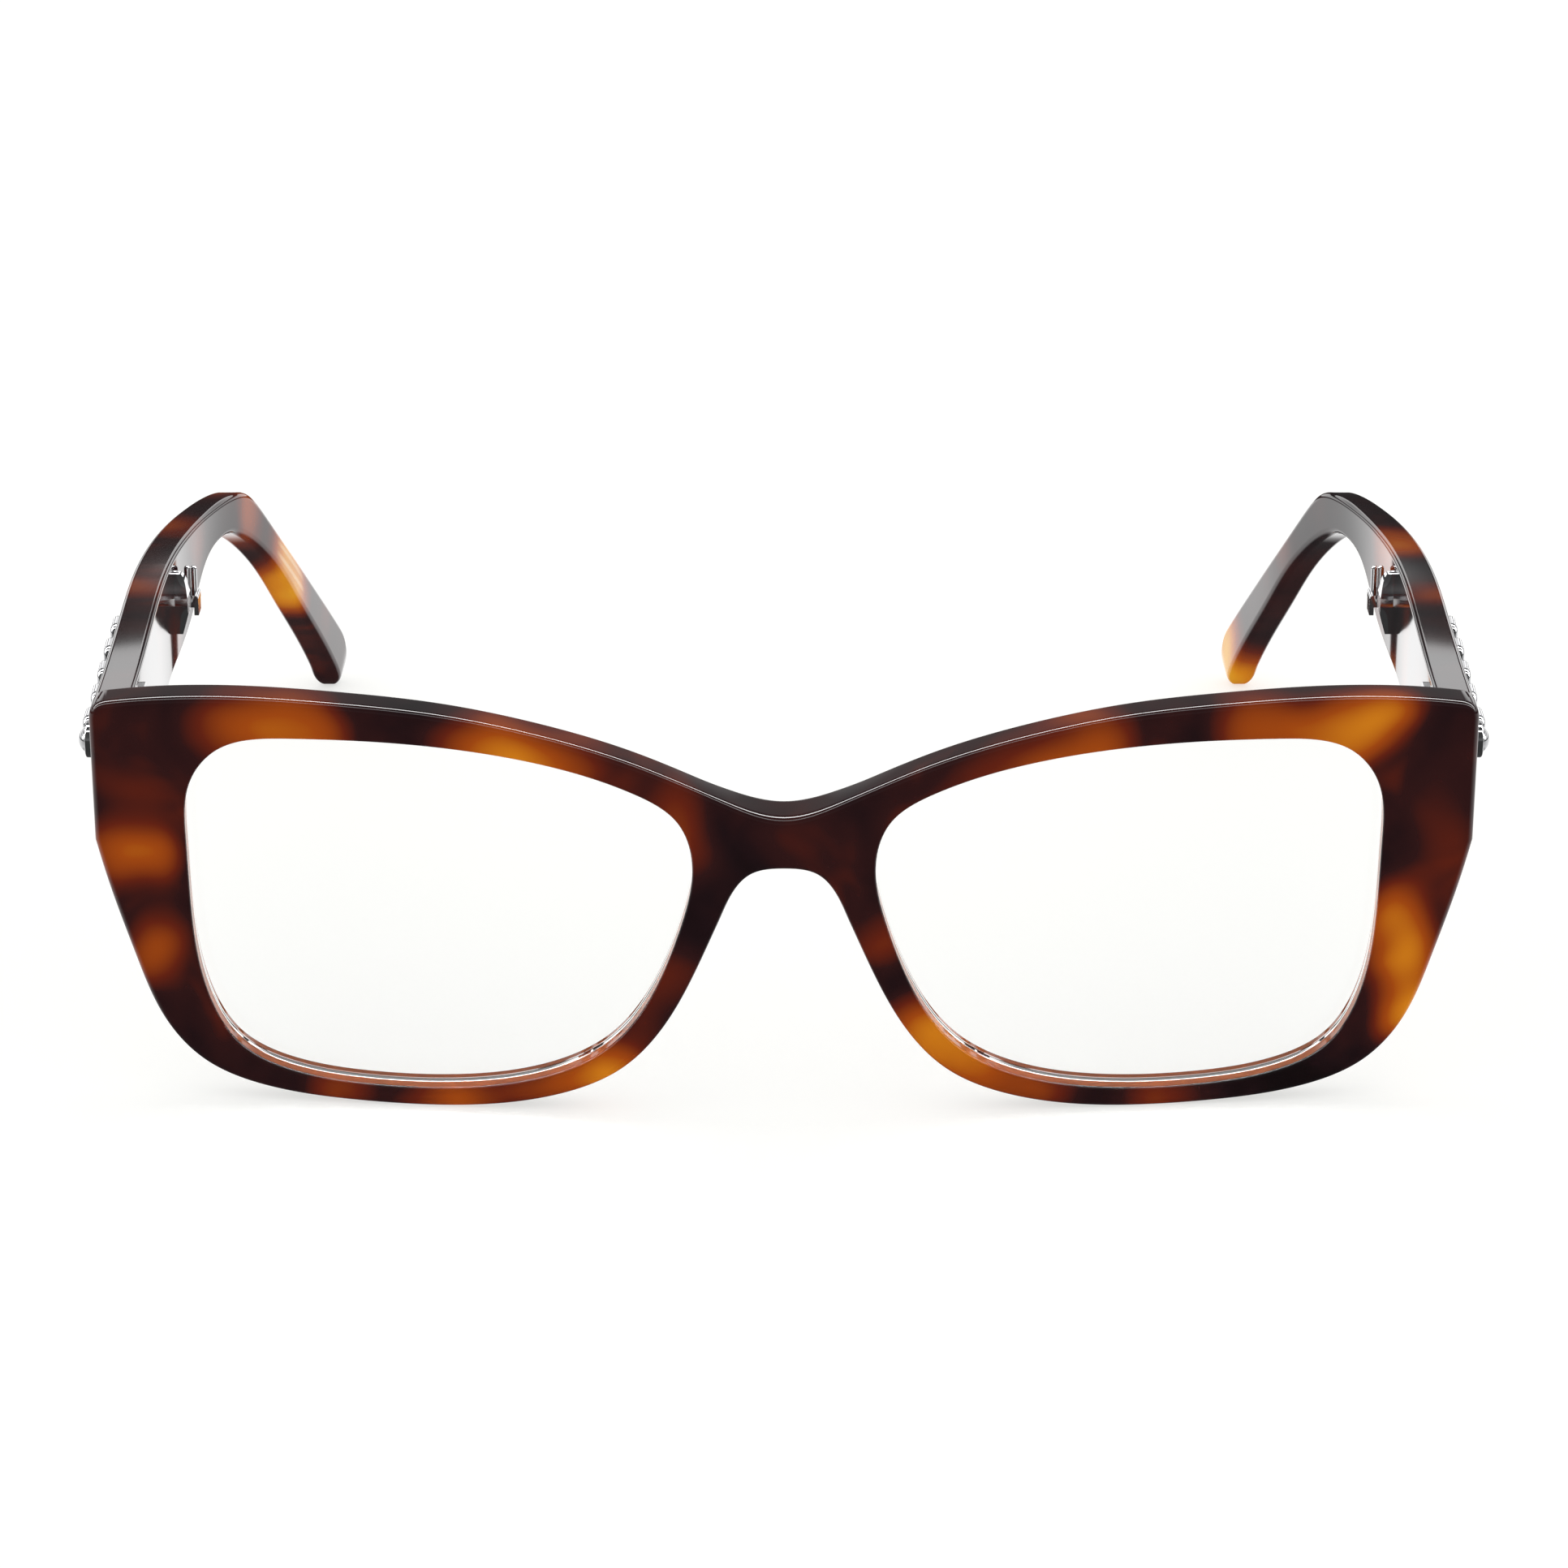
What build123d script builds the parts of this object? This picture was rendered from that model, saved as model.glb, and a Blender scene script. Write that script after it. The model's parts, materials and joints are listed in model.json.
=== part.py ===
from build123d import *
import math
import os

os.makedirs("parts", exist_ok=True)

# A pair of acetate spectacles with open temples, standing on the lower rims and the temple tips.
# Axes: X across the face, +Y from the front towards the ears, +Z up. Millimetres.
# Shapes are drawn for the wearer's left side (+X) and mirrored for the right side (-X).

# Front
FRONT_Y = -68.1       # Y of the front's foremost line at the middle, which centres the whole object on Y
TILT = 5.0            # the front's top leans forward by this many degrees
FRONT_DROP = 0.19     # lowers the leaning front until its rims stand at Z = 0
FACE_R = 420.0        # radius of the front's face curve, seen from above
SHEET = 3.8           # thickness of the front sheet
BRIDGE = 5.0          # thickness of the sheet at the bridge
BRIDGE_HALF = 9.0     # half the width over which the bridge thickens
HALF_WIDTH = 70.75    # half the front's width
EDGE_R = 0.5          # rounding of the front's and temples' edges
BRIDGE_TOP = 33.9     # height of the bridge's upper edge
BRIDGE_LOW = 28.0     # height of the bridge's lower edge

# Lenses and their groove
LENS_BACK = 1.1       # the lens's front face lies this far behind the front's face
LENS_T = 1.8          # lens thickness
LENS_GAP = 0.05       # gap between the lens body and the aperture's wall
BEVEL_T = 1.1         # thickness of the lens's rim flange
BEVEL_H = 0.6         # how far the flange stands into the groove
GROOVE_GAP = 0.03     # gap round the flange

# Temples
TEMPLE_T = 3.9        # thickness of the temple's front part
TIP_T = 3.5           # thickness of the temple's tip
BUTT_GAP = 0.05       # gap between the temple's end and the front's back face
WIRE_R = 0.65         # radius of the core wire

# Hinges: five knuckles, three on the front's leaf and two on the temple's
PIVOT_X = 65.3        # hinge axis
PIVOT_Y = 8.0         # hinge axis, behind the front's foremost line
PIVOT_Z = 36.0        # middle of the knuckles
KNUCKLE_R = 1.3
KNUCKLE_H = 1.5
KNUCKLE_GAP = 0.05
SCREW_R = 0.6
SCREW_PLAY = 0.04     # running clearance in the temple's knuckles
SCREW_HEAD_R = 1.0
SCREW_HEAD_H = 0.7
LEAF_T = 1.0          # thickness of both hinge leaves
LEAF_SUNK = 0.7       # how deep a leaf sits in the acetate
LEAF_H = 9.0
LEAF_L = 11.0         # length of the leaf on the temple
FRONT_LEAF_IN = 62.3  # the front's leaf keeps clear of the eye opening
FRONT_LEAF_OUT = 66.4

# Trim on the temples' outer faces
STUD_COUNT = 5
STUD_PITCH = 8.7
STUD_FIRST = 13.5     # distance of the foremost bar stud behind the front's foremost line
STUD_L = 4.4
STUD_H = 3.2
STUD_PROUD = 1.6
STUD_Z = 37.9         # height of the foremost bar stud's middle
STUD_FALL = 0.045     # how fast the row falls towards the ear
STUD_SUNK = 0.35      # how deep the studs' heads are let into the acetate
SHANK_R = 0.6
SHANK_L = 1.6
MEDAL_Y = 8.4
MEDAL_Z = 38.2
MEDAL_R = 1.9
MEDAL_PROUD = 1.7

# Clasp on the temples' inner faces
LEAF_Y = 65.0         # middle of the leaf
LEAF_LOW = 30.8       # height of the leaf's point
LEAF_TOP = 38.2
LEAF_WIDE = 3.0
LEAF_PROUD = 1.25
BLOCK_Y = 69.0        # middle of the block behind the leaf
BLOCK_Z = 33.7
BLOCK_SIZE = (1.8, 3.0, 1.4)
HOOK_T = 0.5          # thickness of the hook that runs down from the block
HOOK_LOW = 32.0
PRONG_R = 0.35
PRONG_H = 3.4
PRONG_REACH = (0.5, 1.25)   # how far the prongs stand from the temple
PRONG_GRIP = 0.4      # how deep the block and leaf are let into the acetate
CLASP_SCREW_R = 0.35

# Nose pads
PAD_DEPTH = 3.0       # how far a pad stands behind the sheet
PAD_SPLAY = 0.3       # how far a pad leans away from the nose
PAD_MIDDLE = (10.35, 16.6)
PAD_LONG = 14.6
PAD_WIDE = 2.3
PAD_TURN = -64.5      # the pad's long axis follows the rim beside the nose


LEAN = Pos(0, 0, -FRONT_DROP) * Rot(X=TILT)


def spline(points, start=None, end=None):
    """A smooth edge through the points, with end directions where both are given."""
    if start is None:
        return Spline(*points)
    return Spline(*points, tangents=(start, end))


def mirrored(part):
    """The same part on the wearer's right side."""
    return mirror(part, about=Plane.YZ)


def placed(part):
    """Carry a part from the drawing, with Y = 0 at the front's foremost line, to its place."""
    return Pos(0, FRONT_Y, 0) * part


def leaned(part):
    """Lean a part of the front by the tilt, and place it."""
    return placed(LEAN * part)


def side_prism(face, depth):
    """Extrude a face drawn in X and Z backwards, from in front of the face curve."""
    return extrude(Plane((0, -2, 0), x_dir=(1, 0, 0), z_dir=(0, -1, 0)) * face, -depth)


def face_curve(x, depth=0.0):
    """How far behind the foremost line the face curve lies at x, at a depth in the sheet."""
    radius = FACE_R - depth
    return FACE_R - math.sqrt(radius * radius - x * x)


def shell(near, far):
    """The part of the front's sheet between two depths."""
    outer = Pos(0, FACE_R, 20) * Cylinder(FACE_R - near, 80)
    inner = Pos(0, FACE_R, 20) * Cylinder(FACE_R - far, 90)
    return outer - inner


def front_outline():
    """The front's outer edge, as a face in X and Z."""
    top = spline([(0, BRIDGE_TOP), (5.5, 35.5), (15.2, 39.8), (25, 42.8), (35, 44.7), (45, 45.5),
                  (55, 45.7), (63, 45.2), (68.9, 44.3)], (1, 0), (1, -0.2))
    corner = spline([(68.9, 44.3), (70.35, 43.5), (HALF_WIDTH, 42.0)], (1, -0.2), (0, -1))
    side = Line((HALF_WIDTH, 42.0), (HALF_WIDTH, 28.6))
    lower = spline([(HALF_WIDTH, 28.6), (69.3, 22.7), (67.1, 15.4), (64.2, 8.1), (60.4, 3.9),
                    (54, 1.3), (45, 0.2), (38.3, 0), (31, 0.3), (23.2, 1.8), (16.8, 4.9),
                    (12.3, 10), (9.1, 16.2), (6.7, 21.9)], (-0.22, -1), (-0.42, 1))
    nose = spline([(6.7, 21.9), (5.2, 25.3), (3.3, 27.4), (0, BRIDGE_LOW)], (-0.42, 1), (-1, 0))
    half = [top, corner, side, lower, nose]
    other = [mirror(edge, about=Plane.YZ).edge() for edge in half]
    return make_face(Wire(half + other))


def aperture(grow=0.0):
    """The edge of the left eye's opening, as a face in X and Z, grown all round."""
    edge = Spline((37.4, 41.3), (25, 39.65), (15.3, 36.5), (10.9, 33.4), (9.4, 29.1), (10.5, 21.8),
                  (13.3, 14.3), (18, 7.7), (25.2, 3.9), (34, 2.4), (43.5, 2.4), (51, 3.5),
                  (56.4, 6.2), (59.3, 11), (60.9, 19.6), (61.2, 29), (60.5, 36), (57.6, 39.7),
                  (50, 41.4), periodic=True)
    if grow:
        shares = [index / 60 for index in range(60)]
        spots = [(edge @ share, edge % share) for share in shares]
        edge = Spline(*[(spot.X + grow * way.Y, spot.Y - grow * way.X) for spot, way in spots],
                      periodic=True)
    return make_face(Wire([edge]))


def front_plan():
    """The front's section seen from above, thicker at the bridge."""
    reach = HALF_WIDTH + 2
    edge_x = BRIDGE_HALF
    face = ThreePointArc((-reach, face_curve(reach)), (0, 0), (reach, face_curve(reach)))
    right = ThreePointArc((edge_x, face_curve(edge_x, SHEET)), (40, face_curve(40, SHEET)),
                          (reach, face_curve(reach, SHEET)))
    left = mirror(right, about=Plane.YZ).edge()
    slope = edge_x / (FACE_R - SHEET)
    back = spline([(-edge_x, face_curve(edge_x, SHEET)), (0, BRIDGE), (edge_x, face_curve(edge_x, SHEET))],
                  (1, -slope), (1, slope))
    ends = [Line((s * reach, face_curve(reach)), (s * reach, face_curve(reach, SHEET))) for s in (-1, 1)]
    return make_face(Wire([face, right, back, left] + ends))


def front_stock():
    """The bent sheet that the front is cut from."""
    return extrude(Plane.XY.offset(-5) * front_plan(), 60)


def groove(grow, thick):
    """The lens's rim flange, grown by an amount, or the groove that it sits in."""
    middle = LENS_BACK + LENS_T / 2
    return side_prism(aperture(BEVEL_H + grow), 30) & shell(middle - thick / 2, middle + thick / 2)


def lens():
    body = side_prism(aperture(-LENS_GAP), 30) & shell(LENS_BACK, LENS_BACK + LENS_T)
    return body + groove(0, BEVEL_T)


def on_face(edge):
    """Whether an edge lies on the front's face curve."""
    middle = edge @ 0.5
    return abs(middle.Y - face_curve(middle.X)) < 0.05


def front_frame(pockets):
    """The acetate front, with grooves for the lenses and pockets for the hinge leaves."""
    outline = front_outline() - aperture() - mirrored(aperture())
    body = side_prism(outline, 30) & front_stock()
    rims = [edge for edge in body.edges() if edge.is_closed or on_face(edge)]
    body = fillet(rims, EDGE_R)
    channel = groove(GROOVE_GAP, BEVEL_T + 2 * GROOVE_GAP)
    body = body - channel - mirrored(channel)
    for pocket in pockets:
        body = body - pocket - mirrored(pocket)
    return body


def temple_side():
    """The temple's outline seen from the side, as a face in Y and Z."""
    top = spline([(-2, 43.7), (25, 42.2), (50, 40.7), (75, 39.3), (88, 38.5), (95, 37.9), (99.8, 36.6),
                  (103.6, 34.0), (109.6, 28.8), (120.8, 20.0), (136, 8.4)], (1, -0.06), (1, -0.8))
    tip = spline([(136, 8.4), (138.7, 5.7), (139.3, 2.9), (138.4, 0.7), (136.9, 0), (135.2, 1.1),
                  (133.2, 3.4)], (1, -0.8), (-1, 0.98))
    bottom = spline([(133.2, 3.4), (125, 10.7), (117.3, 17.0), (108, 25.0), (103, 28.7), (98.2, 31.6),
                     (93.5, 33.5), (88, 34.0), (83.5, 33.3), (79, 31.2), (75, 29.2), (70, 28.0),
                     (60, 27.7), (30, 28.1), (-2, 28.5)], (-1, 0.98), (-1, 0.01))
    front = Line((-2, 28.5), (-2, 43.7))
    return make_face(Wire([top, tip, bottom, front]))


PLAN = [(-2, 70.75), (6, 70.8), (20, 71.1), (42, 71.9), (60, 72.3), (76, 71.5), (86, 70.0), (95, 67.9),
        (103, 65.8), (110, 64.0), (125, 61.2), (141, 58.4)]


def thickness(y):
    """The temple's thickness, which tapers over the ear bend."""
    share = min(max((y - 76) / 30, 0), 1)
    return TEMPLE_T + (TIP_T - TEMPLE_T) * share


def temple_plan():
    """The temple's section seen from above, as a face in X and Y."""
    outer = Spline(*[(x, y) for y, x in PLAN])
    inner = Spline(*[(x - thickness(y), y) for y, x in PLAN])
    return make_face(Wire([outer, inner, Line(outer @ 0, inner @ 0), Line(outer @ 1, inner @ 1)]))


def behind_front(gap):
    """All the space behind the front's back face, for cutting the temple's end to it."""
    space = Pos(0, FACE_R, 20) * Cylinder(FACE_R - SHEET - gap, 120)
    return LEAN * space


def temple_blank():
    side = extrude(Plane.YZ.offset(40) * temple_side(), 40)
    plan = extrude(Plane.XY.offset(-5) * temple_plan(), 60)
    body = side & plan
    body = fillet([edge for edge in body.edges() if edge.length > 4], EDGE_R)
    return body & behind_front(BUTT_GAP)


def plan_x(y, share=0.0):
    """X on the temple at y, from its outer face (share 0) to its inner face (share 1)."""
    for (y0, x0), (y1, x1) in zip(PLAN, PLAN[1:]):
        if y <= y1:
            break
    return x0 + (x1 - x0) * (y - y0) / (y1 - y0) - share * thickness(y)


def core_wire():
    """The wire that stiffens the temple, on the middle of its section."""
    middle = [(4, 35.9), (30, 35.2), (60, 34.4), (76, 34.6), (86, 36.2), (95, 35.4), (103, 31.4),
              (110, 26.2), (125, 14.0), (132, 8.0)]
    path = Spline(*[(plan_x(y, 0.5), y, z) for y, z in middle])
    section = Plane(origin=path @ 0, z_dir=path % 0) * Circle(WIRE_R)
    return sweep(section, path=path) & behind_front(BUTT_GAP)



def nose_pad():
    """The pad behind the rim beside the nose, which leans away from the nose."""
    sections = ((SHEET - 1.0, 0.0, 1.0, 1.0), (SHEET + 1.0, 0.15, 1.0, 1.0),
                (SHEET + PAD_DEPTH - 1.0, 0.85, 0.9, 0.95), (SHEET + PAD_DEPTH, 1.0, 0.78, 0.5))
    faces = []
    for depth, lean, long_share, wide_share in sections:
        middle = (PAD_MIDDLE[0] + PAD_SPLAY * lean, PAD_MIDDLE[1])
        plane = Plane((0, depth, 0), x_dir=(1, 0, 0), z_dir=(0, -1, 0))
        oval = Ellipse(PAD_LONG / 2 * long_share, PAD_WIDE / 2 * wide_share)
        faces.append(plane * Pos(*middle) * Rot(Z=PAD_TURN) * oval)
    return loft(faces) - front_stock()


def knuckle_z(index):
    """Bottom and top of a knuckle, counted from below."""
    low = PIVOT_Z - 2.5 * KNUCKLE_H + index * KNUCKLE_H
    gap = KNUCKLE_GAP / 2
    return low + gap, low + KNUCKLE_H - gap


def block(x0, x1, y0, y1, z0, z1):
    """A box between two corners."""
    return Pos((x0 + x1) / 2, (y0 + y1) / 2, (z0 + z1) / 2) * Box(x1 - x0, y1 - y0, z1 - z0)


def barrel(index, radius):
    """A disc of a radius on the hinge axis, as tall as a knuckle."""
    low, high = knuckle_z(index)
    return Pos(PIVOT_X, PIVOT_Y, (low + high) / 2) * Cylinder(radius, high - low)


def hinge_screw():
    low = knuckle_z(0)[0]
    high = knuckle_z(4)[1]
    shank = Pos(PIVOT_X, PIVOT_Y, (low + high) / 2) * Cylinder(SCREW_R, high - low)
    head = Pos(PIVOT_X, PIVOT_Y, high + SCREW_HEAD_H / 2) * Cylinder(SCREW_HEAD_R, SCREW_HEAD_H)
    head = fillet(head.edges().group_by(Axis.Z)[-1], 0.25)
    slot = Pos(PIVOT_X, PIVOT_Y, high + SCREW_HEAD_H) * Box(3, 0.3, 0.5)
    return shank + head - slot


def hinge_front_leaf():
    """The plate let into the front's back face, with three knuckles."""
    turn = math.degrees(math.asin(PIVOT_X / FACE_R))
    middle_x = (FRONT_LEAF_IN + FRONT_LEAF_OUT) / 2
    depth = face_curve(middle_x, SHEET)
    plate = LEAN * Pos(middle_x, depth, PIVOT_Z) * Rot(Z=turn) * Pos(0, LEAF_T / 2 - LEAF_SUNK, 0) * Box(
        FRONT_LEAF_OUT - FRONT_LEAF_IN, LEAF_T, LEAF_H)
    plate = fillet(plate.edges().filter_by(Axis.Y, tolerance=15), 1.2)
    leaf = plate
    for index in (0, 2, 4):
        low, high = knuckle_z(index)
        web = block(PIVOT_X - KNUCKLE_R, PIVOT_X + 0.6, PIVOT_Y - 2.6, PIVOT_Y, low, high)
        leaf = leaf + web + barrel(index, KNUCKLE_R)
    return leaf - hinge_screw()


def hinge_temple_leaf():
    """The plate let into the temple's inner face, with two knuckles."""
    inner = plan_x(PIVOT_Y + LEAF_L / 2 + 2, 1)
    start = PIVOT_Y + 1.9
    plate = block(inner - LEAF_T + LEAF_SUNK, inner + LEAF_SUNK, start, start + LEAF_L,
                  PIVOT_Z - LEAF_H / 2, PIVOT_Z + LEAF_H / 2)
    plate = fillet(plate.edges().filter_by(Axis.X), 1.2)
    leaf = plate
    for index in (1, 3):
        low, high = knuckle_z(index)
        web = block(PIVOT_X - 0.2, inner + LEAF_SUNK, PIVOT_Y, start + 1.5, low, high)
        leaf = leaf + web + barrel(index, KNUCKLE_R)
        leaf = leaf - barrel(index, SCREW_R + SCREW_PLAY)
    return leaf


def stud(y):
    """A bar stud with a shank, on the temple's outer face at y."""
    x = plan_x(y)
    z = STUD_Z - STUD_FALL * (y - STUD_FIRST)
    turn = math.degrees(math.atan2(plan_x(y - 2) - plan_x(y + 2), 4))
    bar = Box(STUD_PROUD + STUD_SUNK, STUD_L, STUD_H)
    bar = fillet(bar.edges().filter_by(Axis.X), 1.0)
    bar = fillet(bar.faces().sort_by(Axis.X)[-1].edges(), 0.6)
    shank = Pos(-SHANK_L / 2, 0, 0) * Rot(Y=90) * Cylinder(SHANK_R, SHANK_L)
    return Pos(x, y, z) * Rot(Z=turn) * (Pos((STUD_PROUD - STUD_SUNK) / 2, 0, 0) * bar + shank)


def medal():
    """The domed bead and the ring round it, at the head of the row of studs."""
    place = Pos(plan_x(MEDAL_Y), MEDAL_Y, MEDAL_Z) * Rot(Y=90)
    ring_h = MEDAL_PROUD * 0.55
    ring = Pos(0, 0, ring_h / 2 - 0.1) * (Cylinder(MEDAL_R, ring_h + 0.2) - Cylinder(MEDAL_R - 0.5, ring_h + 0.2))
    ring = fillet(ring.edges().group_by(Axis.Z)[-1], 0.2)
    core = Pos(0, 0, ring_h / 2 - 0.1) * Cylinder(MEDAL_R - 0.5, ring_h + 0.2)
    dome_h = MEDAL_PROUD - ring_h
    ball_r = ((MEDAL_R - 0.5) ** 2 + dome_h ** 2) / (2 * dome_h)
    dome = Pos(0, 0, MEDAL_PROUD - ball_r) * Sphere(ball_r) & Pos(0, 0, ring_h + 1) * Cylinder(MEDAL_R, 2)
    shank = Pos(0, 0, -SHANK_L / 2) * Cylinder(SHANK_R, SHANK_L)
    return place * ring, place * (core + dome + shank)


def clasp():
    """The clasp's leaf, block with its hook, prongs and screw, on the temple's inner face."""
    face_x = plan_x(LEAF_Y, 1)
    middle = (LEAF_LOW + LEAF_TOP) / 2 + 0.9
    side = spline([(LEAF_Y - 0.4, LEAF_LOW), (LEAF_Y - LEAF_WIDE / 2, middle), (LEAF_Y, LEAF_TOP),
                   (LEAF_Y + LEAF_WIDE / 2, middle), (LEAF_Y + 0.4, LEAF_LOW)], (-0.35, 1), (-0.35, -1))
    end = Line((LEAF_Y + 0.4, LEAF_LOW), (LEAF_Y - 0.4, LEAF_LOW))
    leaf = extrude(Plane.YZ * make_face(Wire([side, end])), LEAF_PROUD + PRONG_GRIP)
    leaf = Pos(face_x - LEAF_PROUD, 0, 0) * leaf
    front_view = spline([(face_x + PRONG_GRIP, LEAF_TOP), (face_x - LEAF_PROUD * 0.55, LEAF_TOP - 0.5),
                         (face_x - LEAF_PROUD, middle), (face_x - 0.5, LEAF_LOW)], (-1, 0), (0.3, -1))
    closing = Polyline((face_x - 0.5, LEAF_LOW), (face_x + PRONG_GRIP, LEAF_LOW), (face_x + PRONG_GRIP, LEAF_TOP))
    crown = Plane((0, LEAF_Y - 5, 0), x_dir=(1, 0, 0), z_dir=(0, -1, 0)) * make_face(
        Wire([front_view] + closing.edges()))
    leaf = leaf & extrude(crown, -10)

    wide, deep, tall = BLOCK_SIZE
    face_x = plan_x(BLOCK_Y, 1)
    body = block(face_x - wide, face_x + PRONG_GRIP, BLOCK_Y - deep / 2, BLOCK_Y + deep / 2,
                 BLOCK_Z - tall / 2, BLOCK_Z + tall / 2)
    body = fillet(body.edges().filter_by(Axis.Y), 0.4)
    hook = block(face_x - wide, face_x - wide + HOOK_T, BLOCK_Y - deep / 2 + 0.2, BLOCK_Y + deep / 2 - 0.2,
                 HOOK_LOW, BLOCK_Z)
    body = body + hook

    screw = Pos(face_x - 0.75, BLOCK_Y - deep / 2, BLOCK_Z) * Rot(X=90) * Cylinder(CLASP_SCREW_R, 0.8)
    prongs = []
    for reach in PRONG_REACH:
        pin = Pos(face_x - reach, BLOCK_Y + 0.2, BLOCK_Z + PRONG_H / 2) * Cylinder(PRONG_R, PRONG_H)
        ball = Pos(face_x - reach, BLOCK_Y + 0.2, BLOCK_Z + PRONG_H) * Sphere(PRONG_R)
        prongs.append(pin + ball)
    body = body - screw
    for prong in prongs:
        body = body - prong
    return leaf, body, screw, Compound(children=prongs)


def side_parts():
    """Every part of the wearer's left side, by name, with what it is let into already cut away."""
    studs = [stud(STUD_FIRST + index * STUD_PITCH) for index in range(STUD_COUNT)]
    ring, bead = medal()
    leaf, body, screw, prongs = clasp()
    temple_leaf = hinge_temple_leaf()
    wire = core_wire()
    temple = temple_blank()
    for piece in studs + [ring, bead, leaf, body, temple_leaf, wire]:
        temple = temple - piece
    return {
        "temple": temple,
        "core_wire": wire - temple_leaf,
        "hinge_front_leaf": hinge_front_leaf(),
        "hinge_temple_leaf": temple_leaf,
        "hinge_screw": hinge_screw(),
        "trim_studs": Compound(children=studs),
        "trim_bead": bead,
        "trim_ring": ring,
        "clasp_leaf": leaf,
        "clasp_block": body,
        "clasp_screw": screw,
        "clasp_prongs": prongs,
    }


def save(name, part):
    export_step(part, "parts/" + name + ".step")


left = side_parts()
pocket = LEAN.inverse() * left["hinge_front_leaf"]
pad = nose_pad()
save("front_frame", leaned(front_frame([pocket])))
for name, part in left.items():
    save("left_" + name, placed(part))
    save("right_" + name, placed(mirrored(part)))
for name, part in (("lens", lens()), ("nose_pad", pad)):
    save("left_" + name, leaned(part))
    save("right_" + name, leaned(mirrored(part)))
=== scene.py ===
import json
import math

import bmesh
import bpy
import numpy as np
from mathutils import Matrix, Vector
from mathutils.geometry import delaunay_2d_cdt


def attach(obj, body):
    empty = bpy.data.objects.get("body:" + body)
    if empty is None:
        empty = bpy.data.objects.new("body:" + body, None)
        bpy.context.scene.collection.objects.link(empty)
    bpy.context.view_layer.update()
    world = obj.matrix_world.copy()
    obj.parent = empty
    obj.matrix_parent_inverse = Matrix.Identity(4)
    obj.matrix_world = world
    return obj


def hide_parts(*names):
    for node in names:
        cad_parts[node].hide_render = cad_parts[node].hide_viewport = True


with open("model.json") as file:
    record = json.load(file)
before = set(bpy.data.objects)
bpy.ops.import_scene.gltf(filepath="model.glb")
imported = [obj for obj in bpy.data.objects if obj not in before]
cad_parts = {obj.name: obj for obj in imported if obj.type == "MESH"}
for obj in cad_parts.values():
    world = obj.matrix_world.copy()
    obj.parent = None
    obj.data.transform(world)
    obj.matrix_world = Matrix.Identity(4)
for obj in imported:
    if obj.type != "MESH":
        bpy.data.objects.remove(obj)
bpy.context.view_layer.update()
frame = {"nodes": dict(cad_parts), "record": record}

# Looks for a pair of acetate spectacles. Lengths here are millimetres in the drawing's frame, where
# Y = 0 is the front's foremost line at the middle; `to_scene` carries them to metres in the part's frame.
MM = 0.001
PIVOT_Y = 8.0           # the hinge axis behind the front's foremost line
FRONT_Y = frame["record"]["behaviour"]["joints"][0]["pos_m"][1] / MM - PIVOT_Y
TILT = math.radians(5.0)  # the front leans its top forward by this much
FRONT_DROP = 0.19       # lowers the leaned front so that it stands on the ground
FACE_R = 420.0          # bend radius of the front's face
SHEET = 3.8             # thickness of the front's sheet
BRIDGE = 5.0            # its thickness at the bridge's middle
BRIDGE_HALF = 9.0       # how far from the middle the sheet is back to its own thickness
HALF_WIDTH = 70.75
BUTT_GAP = 0.05         # gap between the front's back and a temple's end

FRONT_EDGE = 0.85       # rounding of the front's outer edge, on its face
BACK_EDGE = 0.6         # and on its back
EYE_EDGE = 0.35         # rounding of the eye openings' edges
LENS_MIDDLE = 2.0       # depth of the lens's rim in the sheet
LENS_HALF = 0.55        # half the lens's thickness
FLAT_STRIP = 0.35       # width of the flat strip beside each rounding, which keeps the shading true
RIM_GAP = 0.04          # gap round the lens's rim
LENS_DOME = 1.0         # how far the lens's middle stands forward of its rim
GRID_PITCH = 1.3        # spacing of the points inside the front's flat faces
LENS_PITCH = 3.0        # and inside the lens's faces
LENS_CHAMFER = 0.08     # chamfer of the lens's rim
TEMPLE_T = 3.9
TIP_T = 3.5
SLIM_FROM = 76.0        # Y where the temple starts to slim towards its tip
SLIM_OVER = 30.0        # and the distance that it takes
TEMPLE_EDGE = 0.55      # rounding of the temple's edges
TIP_EDGE_MORE = 0.35    # how much more the tip's edges are rounded
TIP_ROUND = 3.0         # how far from its end the tip begins to round off across its thickness
TIP_WAY = (0.45, -0.89)  # the way the tip's rounded end points, in Y and Z


# ---------------------------------------------------------------- curves

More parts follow.
